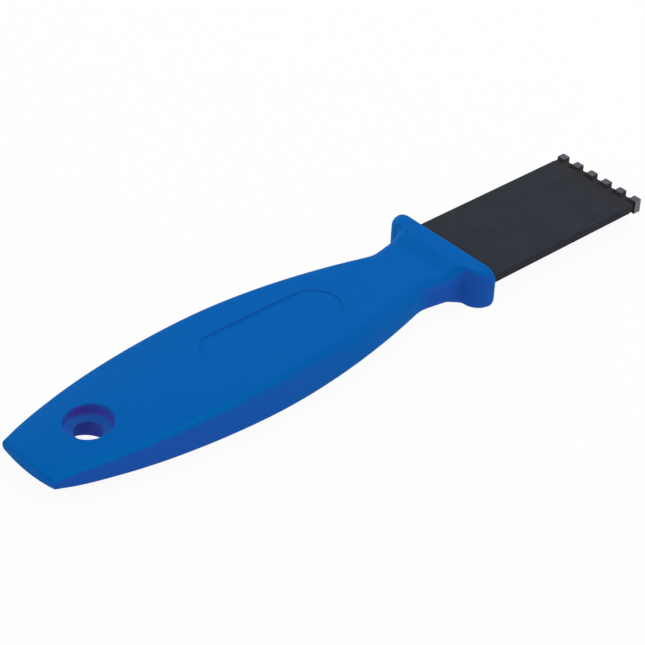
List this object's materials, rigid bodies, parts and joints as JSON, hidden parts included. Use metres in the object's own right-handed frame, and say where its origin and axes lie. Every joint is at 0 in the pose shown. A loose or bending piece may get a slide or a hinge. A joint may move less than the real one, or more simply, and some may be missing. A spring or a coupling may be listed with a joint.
{
  "type": "carbide scraper",
  "caption": "Hand scraper with a flat black steel blade edged with brazed carbide tips and a moulded leaf-shaped plastic handle with a guard and a hanging hole.",
  "frame": {"origin": "centre of the tool's overall box, in the middle of the blade's thickness", "axes": "+X along the tool towards the carbide tips, +Y across it, +Z out of the face with the dished hole and the panel"},
  "size_m": [0.2026, 0.0378, 0.0118],
  "materials": {
    "handle_plastic": "satin moulded",
    "blade_steel": "black oxide, satin",
    "tip_carbide": "ground, dull grey",
    "braze_metal": "dark, dull"
  },
  "bodies": {
    "root": {"handle": "handle_plastic", "blade": "blade_steel", "carbide_tip_1": "tip_carbide", "carbide_tip_2": "tip_carbide", "carbide_tip_3": "tip_carbide", "carbide_tip_4": "tip_carbide", "carbide_tip_5": "tip_carbide", "carbide_tip_6": "tip_carbide", "braze_1": "braze_metal", "braze_2": "braze_metal", "braze_3": "braze_metal", "braze_4": "braze_metal", "braze_5": "braze_metal", "braze_6": "braze_metal"}
  },
  "joints": []
}
